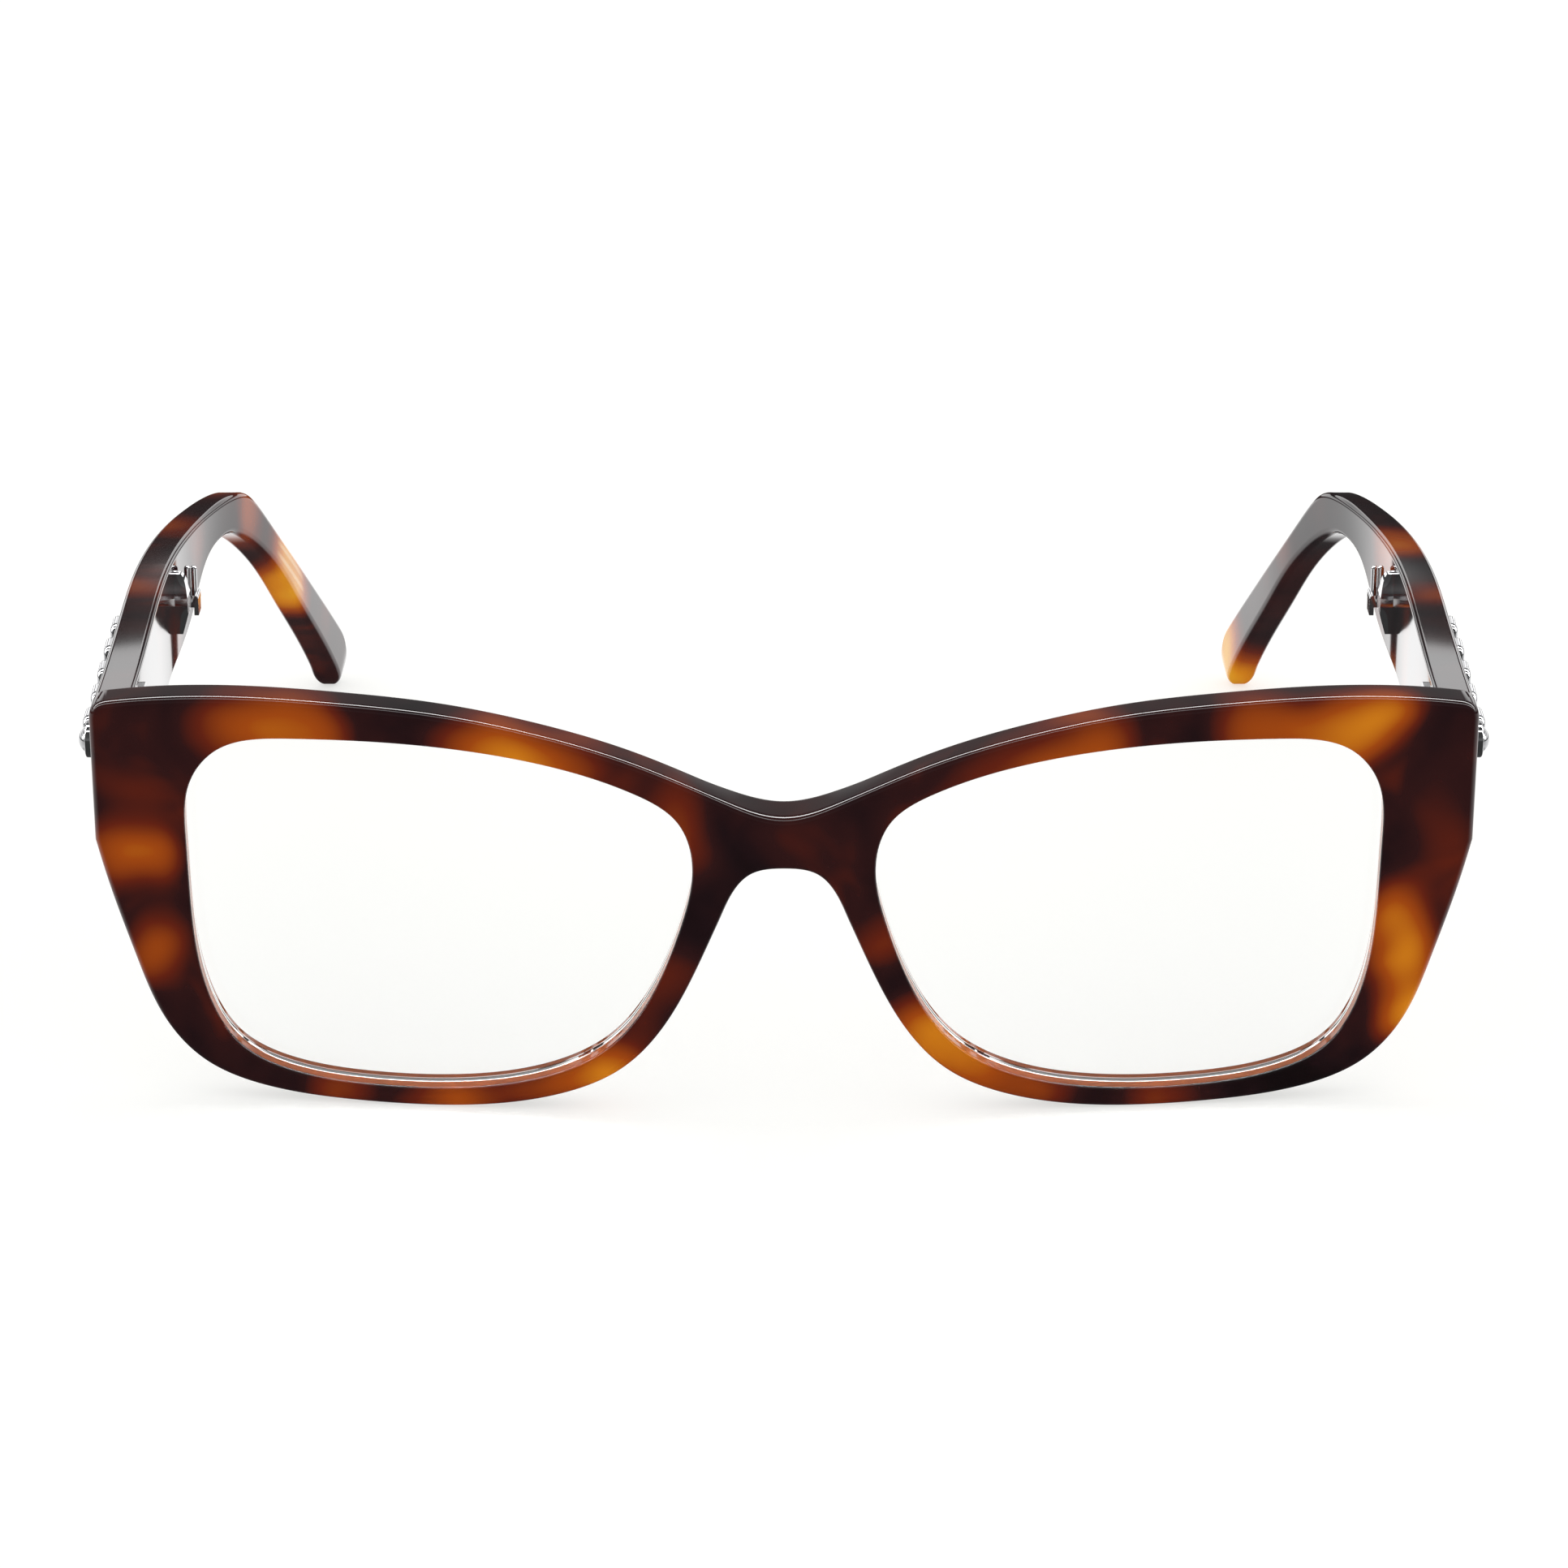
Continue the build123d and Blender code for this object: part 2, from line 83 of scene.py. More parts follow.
def spline(points, start=None, end=None, closed=False, step=0.5):
    """Points about `step` apart along a smooth curve through the given ones."""
    p = np.array(points, float)
    if closed:
        p = np.vstack([p, p[:1]])
    h = np.linalg.norm(np.diff(p, axis=0), axis=1)
    n = len(p)
    a = np.zeros((n, n))
    b = np.zeros(p.shape)
    for i in range(1, n - 1):
        a[i, i - 1:i + 2] = 1 / h[i - 1], 2 / h[i - 1] + 2 / h[i], 1 / h[i]
        b[i] = 3 * ((p[i] - p[i - 1]) / h[i - 1] ** 2 + (p[i + 1] - p[i]) / h[i] ** 2)
    if closed:
        a[0, 0], a[0, -1] = 1, -1
        a[-1, -2], a[-1, -1], a[-1, 1] = 1 / h[-1], 2 / h[-1] + 2 / h[0], 1 / h[0]
        b[-1] = 3 * ((p[-1] - p[-2]) / h[-1] ** 2 + (p[1] - p[0]) / h[0] ** 2)
    else:
        for row, other, way, gap in ((0, 1, start, h[0]), (-1, -2, end, h[-1])):
            if way is None:
                a[row, row], a[row, other] = 2, 1
                b[row] = 3 * (p[other] - p[row]) / gap * (1 if row == 0 else -1)
            else:
                a[row, row] = 1
                b[row] = np.array(way, float) / np.linalg.norm(way)
    slope = np.linalg.solve(a, b)
    t = np.concatenate([[0], np.cumsum(h)])
    u = np.linspace(0, t[-1], math.ceil(t[-1] / step) + 1)
    if closed:
        u = u[:-1]
    i = np.clip(np.searchsorted(t, u, side="right") - 1, 0, n - 2)
    s = ((u - t[i]) / h[i])[:, None]
    g = h[i][:, None]
    return ((1 + 2 * s) * (1 - s) ** 2 * p[i] + s * (1 - s) ** 2 * g * slope[i]
            + s * s * (3 - 2 * s) * p[i + 1] + s * s * (s - 1) * g * slope[i + 1])


def outward(ring):
    """Unit normals that point out of a closed anticlockwise ring of 2-D points."""
    along = np.roll(ring, -1, axis=0) - np.roll(ring, 1, axis=0)
    along /= np.linalg.norm(along, axis=1)[:, None]
    return np.stack([along[:, 1], -along[:, 0]], axis=1)


def smooth_share(value):
    value = min(max(value, 0.0), 1.0)
    return value * value * (3 - 2 * value)


# ---------------------------------------------------------------- meshes

def to_scene(x, y, z):
    return Vector((x * MM, (y + FRONT_Y) * MM, z * MM))


def make_object(name, bm, crease=32):
    """A smooth-shaded object from a bmesh, with its sharp edges marked by angle."""
    bmesh.ops.recalc_face_normals(bm, faces=bm.faces)
    mesh = bpy.data.meshes.new(name)
    bm.to_mesh(mesh)
    bm.free()
    mesh.shade_smooth()
    mesh.set_sharp_from_angle(angle=math.radians(crease))
    obj = bpy.data.objects.new(name, mesh)
    bpy.context.collection.objects.link(obj)
    weighted = obj.modifiers.new("weighted_normals", "WEIGHTED_NORMAL")
    weighted.keep_sharp = True
    return obj


def bridge_rings(bm, rings, slots=None):
    """Quads between successive rings of vertices, each band with its material slot."""
    for band, (low, high) in enumerate(zip(rings, rings[1:])):
        for i in range(len(low)):
            j = (i + 1) % len(low)
            face = bm.faces.new((low[i], low[j], high[j], high[i]))
            if slots:
                face.material_index = slots[band]


def inside(point, ring):
    """Whether a 2-D point lies inside a closed ring."""
    x, y = point
    a, b = ring, np.roll(ring, -1, axis=0)
    crosses = (a[:, 1] > y) != (b[:, 1] > y)
    at = a[:, 0] + (y - a[:, 1]) / np.where(crosses, b[:, 1] - a[:, 1], 1) * (b[:, 0] - a[:, 0])
    return bool(np.count_nonzero(crosses & (at > x)) % 2)


def fill(outer, holes, pitch):
    """Triangles that fill a ring with holes. Returns the grid's inner points and index triples, where
    indices run over the outer ring, then the holes, then the inner points."""
    def in_sheet(point):
        return inside(point, outer) and not any(inside(point, hole) for hole in holes)

    rings = [outer] + holes
    border = np.vstack(rings)
    low, high = outer.min(axis=0), outer.max(axis=0)
    grid = []
    for row, w in enumerate(np.arange(low[1], high[1], pitch * 0.87)):
        for x in np.arange(low[0] + (row % 2) * pitch / 2, high[0], pitch):
            near = np.min(np.sum((border - (x, w)) ** 2, axis=1))
            if near > (0.55 * pitch) ** 2 and in_sheet((x, w)):
                grid.append((x, w))
    points = [Vector(p) for p in border] + [Vector(p) for p in grid]
    edges = []
    start = 0
    for ring in rings:
        count = len(ring)
        edges += [(start + i, start + (i + 1) % count) for i in range(count)]
        start += count
    made = delaunay_2d_cdt(points, edges, [], 0, 1e-6)
    verts, faces, origin = made[0], made[2], made[3]
    kept = []
    for face in faces:
        middle = sum((verts[i] for i in face), Vector((0, 0))) / 3
        if in_sheet(middle):
            kept.append([origin[i][0] for i in face])
    return grid, kept


# ---------------------------------------------------------------- the front's shape

def face_curve(x, depth=0.0):
    radius = FACE_R - depth
    return FACE_R - math.sqrt(radius * radius - x * x)


def sheet_point(x, w, depth):
    """A point of the bent, leaned sheet: x across, w up and a depth behind the face."""
    swell = 0.5 + 0.5 * math.cos(math.pi * min(abs(x) / BRIDGE_HALF, 1))
    depth *= 1 + swell * (BRIDGE - SHEET) / SHEET
    y = face_curve(x) + depth
    return to_scene(x, y * math.cos(TILT) - w * math.sin(TILT),
                    w * math.cos(TILT) + y * math.sin(TILT) - FRONT_DROP)


def front_ring():
    """The front's outer edge, anticlockwise from the bridge's top when seen with X to the right."""
    top = spline([(0, 33.9), (5.5, 35.5), (15.2, 39.8), (25, 42.8), (35, 44.7), (45, 45.5), (55, 45.7),
                  (63, 45.2), (68.9, 44.3)], (1, 0), (1, -0.2))
    corner = spline([(68.9, 44.3), (70.35, 43.5), (HALF_WIDTH, 42.0)], (1, -0.2), (0, -1), step=0.2)
    side = spline([(HALF_WIDTH, 42.0), (HALF_WIDTH, 28.6)])
    lower = spline([(HALF_WIDTH, 28.6), (69.3, 22.7), (67.1, 15.4), (64.2, 8.1), (60.4, 3.9), (54, 1.3),
                    (45, 0.2), (38.3, 0), (31, 0.3), (23.2, 1.8), (16.8, 4.9), (12.3, 10), (9.1, 16.2),
                    (6.7, 21.9)], (-0.22, -1), (-0.42, 1))
    nose = spline([(6.7, 21.9), (5.2, 25.3), (3.3, 27.4), (0, 28.0)], (-0.42, 1), (-1, 0), step=0.3)
    half = np.vstack([top[:-1], corner[:-1], side[:-1], lower[:-1], nose])
    other = half[-2:0:-1] * (-1, 1)
    return np.vstack([half, other])[::-1]


def eye_ring():
    """The edge of the left eye's opening, anticlockwise."""
    return spline([(37.4, 41.3), (25, 39.65), (15.3, 36.5), (10.9, 33.4), (9.4, 29.1), (10.5, 21.8),
                   (13.3, 14.3), (18, 7.7), (25.2, 3.9), (34, 2.4), (43.5, 2.4), (51, 3.5), (56.4, 6.2),
                   (59.3, 11), (60.9, 19.6), (61.2, 29), (60.5, 36), (57.6, 39.7), (50, 41.4)], closed=True)


def mirrored_ring(ring):
    return (ring * (-1, 1))[::-1]


def rounded(near, far):
    """(inset, depth) steps across the sheet's edge, with its two roundings and a flat strip beside each."""
    turns = [math.radians(a) for a in range(0, 91, 15)]
    face = [(near * (1 - math.sin(a)), near * (1 - math.cos(a))) for a in turns]
    back = [(far * (1 - math.cos(a)), SHEET - far * (1 - math.sin(a))) for a in turns]
    return [(near + FLAT_STRIP, 0.0)] + face + back + [(far + FLAT_STRIP, SHEET)]


def front_mesh():
    bm = bmesh.new()
    loops = [(front_ring(), rounded(FRONT_EDGE, BACK_EDGE), -1)]
    for ring in (eye_ring(), mirrored_ring(eye_ring())):
        loops.append((ring, rounded(EYE_EDGE, EYE_EDGE), 1))
    ends = {0: [], -1: []}
    for ring, steps, way in loops:
        normal = outward(ring)
        rings = []
        for inset, depth in steps:
            place = ring + normal * inset * way
            rings.append([bm.verts.new(sheet_point(x, w, depth)) for x, w in place])
        near = FRONT_EDGE if way < 0 else EYE_EDGE
        # Slot 1 marks the walls of the eye openings, which take the acetate with the painted glow.
        slots = [int(way > 0 and near < step[1] and step[1] < SHEET) for step in steps[1:]]
        bridge_rings(bm, rings, slots)
        for end in ends:
            ends[end].append((ring + normal * steps[end][0] * way, rings[end]))
    for end, depth in ((0, 0.0), (-1, SHEET)):
        flat = [place for place, _ in ends[end]]
        grid, faces = fill(flat[0], flat[1:], GRID_PITCH)
        verts = [v for _, ring in ends[end] for v in ring]
        verts += [bm.verts.new(sheet_point(x, w, depth)) for x, w in grid]
        for face in faces:
            bm.faces.new([verts[i] for i in face])
    return bm


# ---------------------------------------------------------------- lenses

def lens_mesh(side):
    """A thin lens that fills the eye opening."""
    ring = eye_ring()
    normal = outward(ring)
    centre = ring.mean(axis=0)
    reach = np.linalg.norm(ring - centre, axis=1)
    turn = np.arctan2(ring[:, 1] - centre[1], ring[:, 0] - centre[0])
    order = np.argsort(turn)

    def dome(x, w):
        away = math.hypot(x - centre[0], w - centre[1])
        edge = np.interp(math.atan2(w - centre[1], x - centre[0]), turn[order], reach[order], period=math.tau)
        return LENS_DOME * max(0.0, 1 - (away / edge) ** 2)

    bm = bmesh.new()

    def point(x, w, depth):
        return bm.verts.new(sheet_point(side * x, w, depth - dome(x, w)))

    near, far = LENS_MIDDLE - LENS_HALF, LENS_MIDDLE + LENS_HALF
    steps = [(-RIM_GAP - LENS_CHAMFER, near), (-RIM_GAP, near + LENS_CHAMFER),
             (-RIM_GAP, far - LENS_CHAMFER), (-RIM_GAP - LENS_CHAMFER, far)]
    rings = [[point(x, w, depth) for x, w in ring + normal * grow] for grow, depth in steps]
    bridge_rings(bm, rings)
    flat = ring + normal * steps[0][0]
    grid, faces = fill(flat, [], LENS_PITCH)
    for end, depth in ((0, steps[0][1]), (-1, steps[-1][1])):
        verts = rings[end] + [point(x, w, depth) for x, w in grid]
        for face in faces:
            bm.faces.new([verts[i] for i in face])
    return bm


# ---------------------------------------------------------------- temples

PLAN = np.array([(-2, 70.75), (6, 70.8), (20, 71.1), (42, 71.9), (60, 72.3), (76, 71.5), (86, 70.0),
                 (95, 67.9), (103, 65.8), (110, 64.0), (125, 61.2), (141, 58.4)])
PLAN_FINE = spline(PLAN, step=0.5)


def plan_x(y, share=0.0, slim=1.0):
    """X on the temple at y, from its outer face (share 0) to its inner face (share 1). The tip's end is
    slimmed about its middle."""
    taper = min(max((y - SLIM_FROM) / SLIM_OVER, 0), 1)
    thick = TEMPLE_T + (TIP_T - TEMPLE_T) * taper
    return float(np.interp(y, PLAN_FINE[:, 0], PLAN_FINE[:, 1])) - (0.5 + (share - 0.5) * slim) * thick


def back_face_y(x, z):
    """Y of the front's back face at a point."""
    w = z / math.cos(TILT)
    return face_curve(x, SHEET) * math.cos(TILT) - w * math.sin(TILT)


def temple_edges(count):
    """Matching points along the temple's upper and lower edge, as (Y, Z), from the front to the tip's end."""
    top = spline([(-2, 43.7), (25, 42.2), (50, 40.7), (75, 39.3), (88, 38.5), (95, 37.9), (99.8, 36.6),
                  (103.6, 34.0), (109.6, 28.8), (120.8, 20.0), (136, 8.4)], (1, -0.06), (1, -0.8))
    tip = spline([(136, 8.4), (138.7, 5.7), (139.3, 2.9), (138.4, 0.7), (136.9, 0), (135.2, 1.1),
                  (133.2, 3.4)], (1, -0.8), (-1, 0.98), step=0.15)
    low = spline([(133.2, 3.4), (125, 10.7), (117.3, 17.0), (108, 25.0), (103, 28.7), (98.2, 31.6),
                  (93.5, 33.5), (88, 34.0), (83.5, 33.3), (79, 31.2), (75, 29.2), (70, 28.0), (60, 27.7),
                  (30, 28.1), (-2, 28.5)], (-1, 0.98), (-1, 0.01))
    whole = np.vstack([top[:-1], tip[:-1], low])
    end = int(np.argmax(whole[:, 0] - 0.93 * whole[:, 1]))
    upper, lower = whole[:end + 1], whole[end:][::-1]

    def spread(edge, marks):
        """Points on an edge at given arc-length marks."""
        length = np.concatenate([[0], np.cumsum(np.linalg.norm(np.diff(edge, axis=0), axis=1))])
        return np.stack([np.interp(marks * length[-1], length, edge[:, k]) for k in (0, 1)], axis=1)

    last = 0.035            # the share of each edge along which the marks draw together
    left = [0.9, 0.8, 0.7, 0.6, 0.5, 0.42, 0.34, 0.27, 0.21, 0.16, 0.12, 0.08, 0.05, 0.03]
    marks = np.concatenate([np.linspace(0, 1 - last, count), 1 - last * np.array(left)])
    return spread(upper, marks), spread(lower, marks)


def section(high, low, edge):
    """A rounded rectangle between an upper and a lower edge point, as (share of thickness, Y, Z, inset)."""
    gap = np.linalg.norm(high - low)
    edge = min(edge, gap * 0.49)
    down = (low - high) / gap
    steps = []
    for corner in range(4):
        for k in range(7):
            a = math.radians(15 * k)
            side_in = edge * (1 - (math.sin(a) if corner in (1, 3) else math.cos(a)))
            end_in = edge * (1 - (math.cos(a) if corner in (1, 3) else math.sin(a)))
            steps.append((corner, side_in, end_in))
    points = []
    for corner, side_in, end_in in steps:
        outer = corner in (0, 3)
        upper = corner in (0, 1)
        place = high + down * end_in if upper else low - down * end_in
        points.append((outer, side_in, place[0], place[1]))
    return points


def temple_mesh(side):
    """A temple whose front end follows the front's back face and whose tip rounds off."""
    upper, lower = temple_edges(230)
    start = int(np.argmax(upper[:, 0] >= 9))
    bm = bmesh.new()
    rings = []
    reach = max(y * TIP_WAY[0] + z * TIP_WAY[1] for y, z in np.vstack([upper, lower]))

    def ring_at(high, low, edge, shift=None):
        ring = []
        for outer, inset, y, z in section(high, low, edge):
            left = min(max((reach - y * TIP_WAY[0] - z * TIP_WAY[1]) / TIP_ROUND, 0), 1)
            slim = 0.25 + 0.75 * math.sqrt(1 - (1 - left) ** 2)
            x = plan_x(y, 0, slim) - inset * slim if outer else plan_x(y, 1, slim) + inset * slim
            if shift is not None:
                y = back_face_y(x, z) + BUTT_GAP + shift
                x = plan_x(y) - inset if outer else plan_x(y, 1) + inset
            ring.append(bm.verts.new(to_scene(side * x, y, z)))
        return ring

    for shift, tuck in ((0.0, 0.12), (0.05, 0.04), (0.15, 0.0), (1.0, 0.0)):
        high, low = upper[start - 4].copy(), lower[start - 4].copy()
        high[1] -= tuck
        low[1] += tuck
        rings.append(ring_at(high, low, TEMPLE_EDGE, shift))
    for high, low in zip(upper[start:], lower[start:]):
        edge = TEMPLE_EDGE + TIP_EDGE_MORE * smooth_share((high[0] - 80) / 20)
        rings.append(ring_at(high, low, edge))
    bridge_rings(bm, rings)
    bm.faces.new(rings[0])
    bm.faces.new(rings[-1])
    return bm


# ---------------------------------------------------------------- nose pads

PAD_MIDDLE = (10.35, 16.6)
PAD_LONG = 14.6
PAD_WIDE = 2.3
PAD_TURN = math.radians(64.5)
PAD_DEPTH = 3.0
PAD_SPLAY = 0.3
PAD_CAP = 1.1           # depth of the pad's rounded end


def pad_mesh(side):
    """A pad that leans away from the nose and rounds off at its end."""
    bm = bmesh.new()
    rings = []
    straight = PAD_DEPTH - PAD_CAP
    rise = [(-0.6, 1.1), (0.0, 1.03), (0.3, 1.0), (straight * 0.6, 1.0), (straight, 1.0)]
    rise += [(straight + PAD_CAP * math.sin(a), math.cos(a)) for a in map(math.radians, range(10, 90, 10))]
    for depth, size in rise:
        share = max(depth, 0) / PAD_DEPTH
        long_half = PAD_LONG / 2 * (1 - 0.14 * share) * (0.25 + 0.75 * size)
        wide_half = PAD_WIDE / 2 * size
        ring = []
        for k in range(48):
            a = math.tau * k / 48
            u = long_half * math.copysign(abs(math.cos(a)) ** 0.85, math.cos(a))
            v = wide_half * math.copysign(abs(math.sin(a)) ** 0.85, math.sin(a))
            x = PAD_MIDDLE[0] + PAD_SPLAY * share ** 1.3 + u * math.cos(PAD_TURN) + v * math.sin(PAD_TURN)
            w = PAD_MIDDLE[1] - u * math.sin(PAD_TURN) + v * math.cos(PAD_TURN)
            ring.append(bm.verts.new(sheet_point(side * x, w, SHEET + depth)))
        rings.append(ring)
    bridge_rings(bm, rings)
    bm.faces.new(rings[0])
    bm.faces.new(rings[-1])
    return bm


# ---------------------------------------------------------------- materials

def linear(red, green, blue):
    """A display colour, 0 to 255, as the shader's linear one."""
    def one(c):
        c /= 255
        return c / 12.92 if c <= 0.04045 else ((c + 0.055) / 1.055) ** 2.4
    return one(red), one(green), one(blue), 1.0


# Soft clouds in the acetate: place (x, y, z), reach and warmth. 1 is gold, 0.6 amber and 0.36 red-brown,
# and where clouds lie over each other they grow warmer.
PATCHES = [
    (-57, 0, 42, 8, 0.36), (-51, -1, 43, 10, 0.56), (-46, -1, 41, 8, 0.40), (-31, -2, 41.4, 8, 0.44),
    (-26, -2, 40, 9, 0.70), (-21, -2, 39, 7, 0.34), (-12, -3, 35, 9, 0.34), (-10.5, -2, 29, 8, 0.34),
    (-67, 3, 37, 7, 0.30), (-64, 3, 33, 7, 0.16), (-67.5, 3, 27.5, 7.5, 0.54), (-66, 4, 23.5, 7, 0.22),
    (-64.5, 4, 15, 8, 0.54), (-46, 2, 1.7, 8, 0.42), (-34, 2, 1.1, 9, 0.58), (-26, 1, 2, 7, 0.36),
    (-20, 0, 4.2, 9, 0.74), (-15.5, 0, 8, 8, 0.42), (-11, -1, 15, 8, 0.34),
    (60, 0, 42.6, 8, 0.70), (54, 0, 43.2, 9, 0.52), (48, -1, 43.4, 8, 0.44), (30, -2, 41.4, 9, 0.48),
    (25.5, -3, 40, 9, 0.46), (18, -3, 38.2, 8, 0.30), (12, -2, 33, 8, 0.34), (9.5, -1, 21, 8, 0.40),
    (64.5, 3, 33, 8, 0.20), (68, 3, 28, 8, 0.24), (65, 3, 23, 8, 0.20), (62.5, 4, 17.5, 8, 0.90),
    (64.5, 4, 10.5, 8, 0.84), (15.5, 0, 8.4, 9, 0.68), (19.5, 0, 4.6, 9, 0.52),
    (26, 0, 2.4, 8, 0.44), (40, 1, 0.5, 10, 0.40),
    (-68, 97.5, 38, 12, 0.76), (-70, 80, 39, 11, 0.48), (-71, 52, 41, 11, 0.46), (-62, 112, 25, 12, 0.90),
    (-60, 117, 20, 10, 0.85), (-59, 130, 11, 9, 0.36), (-71, 64, 32, 10, 0.56), (-71, 22, 33, 12, 0.58),
    (-71, 8, 30, 9, 0.46), (-66, 100, 33, 9, 0.44),
    (70, 70, 39.5, 12, 0.62), (68, 99, 36, 8, 0.38), (57, 137, 3, 17, 1.0), (62, 112, 27, 10, 0.34),
    (71, 48, 41, 11, 0.46), (71, 28, 33, 12, 0.58), (71, 48, 31, 10, 0.46), (71, 8, 38, 9, 0.38),
]


def feed(tree, socket, value):
    """Link an output to a socket, or set the socket's own value."""
    if isinstance(value, bpy.types.NodeSocket):
        tree.links.new(value, socket)
    else:
        socket.default_value = value


def math_node(tree, kind, *values):
    node = tree.nodes.new("ShaderNodeMath")
    node.operation = kind
    for socket, value in zip(node.inputs, values):
        feed(tree, socket, value)
    return node.outputs[0]


def vector_node(tree, kind, *values):
    node = tree.nodes.new("ShaderNodeVectorMath")
    node.operation = kind
    for socket, value in zip(node.inputs, values):
        feed(tree, socket, value)
    return node.outputs["Value" if kind in ("DISTANCE", "DOT_PRODUCT") else "Vector"]


def remap(tree, value, low, high, to_low=0.0, to_high=1.0, smooth=False):
    """`value` carried from low..high to to_low..to_high, and held at the ends."""
    node = tree.nodes.new("ShaderNodeMapRange")
    node.interpolation_type = "SMOOTHSTEP" if smooth else "LINEAR"
    for name, what in (("Value", value), ("From Min", low), ("From Max", high), ("To Min", to_low),
                       ("To Max", to_high)):
        feed(tree, node.inputs[name], what)
    return node.outputs[0]


def mix(tree, factor, first, second, blend="MIX"):
    node = tree.nodes.new("ShaderNodeMix")
    node.data_type = "RGBA"
    node.blend_type = blend
    for name, what in (("Factor", factor), ("A", first), ("B", second)):
        feed(tree, node.inputs[name], what)
    return node.outputs["Result"]


def ramp(tree, value, stops):
    """A colour ramp over (position, colour) stops."""
    node = tree.nodes.new("ShaderNodeValToRGB")
    tree.links.new(value, node.inputs["Fac"])
    while len(node.color_ramp.elements) < len(stops):
        node.color_ramp.elements.new(0.5)
    for element, (where, colour) in zip(node.color_ramp.elements, stops):
        element.position = where
        element.color = colour
    return node.outputs["Color"]


def object_place(tree):
    return tree.nodes.new("ShaderNodeTexCoord").outputs["Object"]


def new_material(name):
    mat = bpy.data.materials.new(name)
    mat.use_nodes = True
    return mat, mat.node_tree, mat.node_tree.nodes["Principled BSDF"]


def noise(tree, place, scale, detail=2.0, roughness=0.5):
    node = tree.nodes.new("ShaderNodeTexNoise")
    node.inputs["Scale"].default_value = scale
    node.inputs["Detail"].default_value = detail
    node.inputs["Roughness"].default_value = roughness
    tree.links.new(place, node.inputs["Vector"])
    return node


def painted_wire_highlight(tree, place, warmth):
    """Where to paint a painted highlight along the core wire's two bright edges, as if seen through the
    clearest cloud behind the bend.
    """
    start, end = to_scene(0, 106.5, 28.9), to_scene(0, 121.0, 17.3)
    along = (end - start).normalized()
    across = Vector((0, -along.z, along.y))
    length = (end - start).length
    fade = 2.5 * MM

    def component(direction):
        dot = vector_node(tree, "DOT_PRODUCT", place, direction)
        return math_node(tree, "SUBTRACT", dot, direction.dot(start))

    from_middle = math_node(tree, "ABSOLUTE", component(across))
    from_edge = math_node(tree, "ABSOLUTE", math_node(tree, "SUBTRACT", from_middle, 0.6 * MM))
    travel = component(along)
    shown = remap(tree, from_edge, 0.4 * MM, 0.1 * MM, smooth=True)
    for share in (remap(tree, travel, 0.0, fade, smooth=True),
                  remap(tree, travel, length, length - fade, smooth=True),
                  remap(tree, warmth, 0.55, 0.9, smooth=True)):
        shown = math_node(tree, "MULTIPLY", shown, share)
    return math_node(tree, "MULTIPLY", shown, 0.75)


def acetate(name, painted_glow=0.0):
    """Polished tortoiseshell: clouds of amber, red and gold in a dark aubergine brown. A given share of a
    lighter pinkish amber is painted into the colour as a painted glow, standing in for the light that comes
    through the sheet at the cut edges of the eye openings; the core wire's two edges are painted in as
    painted highlights."""
    mat, tree, shader = new_material(name)
    place = object_place(tree)
    warp = vector_node(tree, "SUBTRACT", noise(tree, place, 60.0, 1.5).outputs["Color"], (0.5, 0.5, 0.5))
    pushed = vector_node(tree, "MULTIPLY_ADD", warp, (0.012, 0.010, 0.010), place)

    shade = 1.0
    for x, y, z, reach, warm in PATCHES:
        away = vector_node(tree, "DISTANCE", pushed, to_scene(x, y, z))
        fade = remap(tree, away, reach * MM, 0.0, 1.0, 1.0 - warm, smooth=True)
        shade = math_node(tree, "MULTIPLY", shade, fade)
    warmth = math_node(tree, "SUBTRACT", 1.0, shade)
    drift = remap(tree, noise(tree, pushed, 70.0, 3.0, 0.55).outputs["Fac"], 0.36, 0.80, 0.0, 0.38)
    colour = ramp(tree, math_node(tree, "SMOOTH_MAX", warmth, drift, 0.1), [
        (0.0, linear(12, 7, 8)), (0.07, linear(28, 14, 17)), (0.20, linear(46, 20, 20)),
        (0.36, linear(96, 32, 16)), (0.58, linear(158, 70, 14)), (0.80, linear(212, 130, 24)),
        (1.0, linear(240, 180, 46))])
    # Painted glow: a lighter pinkish amber mixed in by the given share, standing in for light that comes
    # through the sheet at the eye openings' cut edges.
    colour = mix(tree, painted_glow, colour, linear(196, 112, 72))
    # Painted highlights: the core wire's two bright edges, painted in a pale gold where the wire would glint
    # through the clearest amber.
    colour = mix(tree, painted_wire_highlight(tree, place, warmth), colour, linear(240, 200, 152))
    tree.links.new(colour, shader.inputs["Base Color"])
    shader.inputs["Roughness"].default_value = 0.045
    shader.inputs["IOR"].default_value = 1.49
    shader.inputs["Specular IOR Level"].default_value = 0.5
    return mat


def clear_lens():
    mat, tree, shader = new_material("lens_clear")
    cloud = noise(tree, object_place(tree), 12.0, 1.0).outputs["Fac"]
    tint = ramp(tree, cloud, [(0.0, (0.985, 0.992, 0.99, 1)), (1.0, (0.995, 0.997, 0.997, 1))])
    tree.links.new(tint, shader.inputs["Base Color"])
    shader.inputs["Transmission Weight"].default_value = 1.0
    shader.inputs["Roughness"].default_value = 0.0
    shader.inputs["IOR"].default_value = 1.3
    return mat


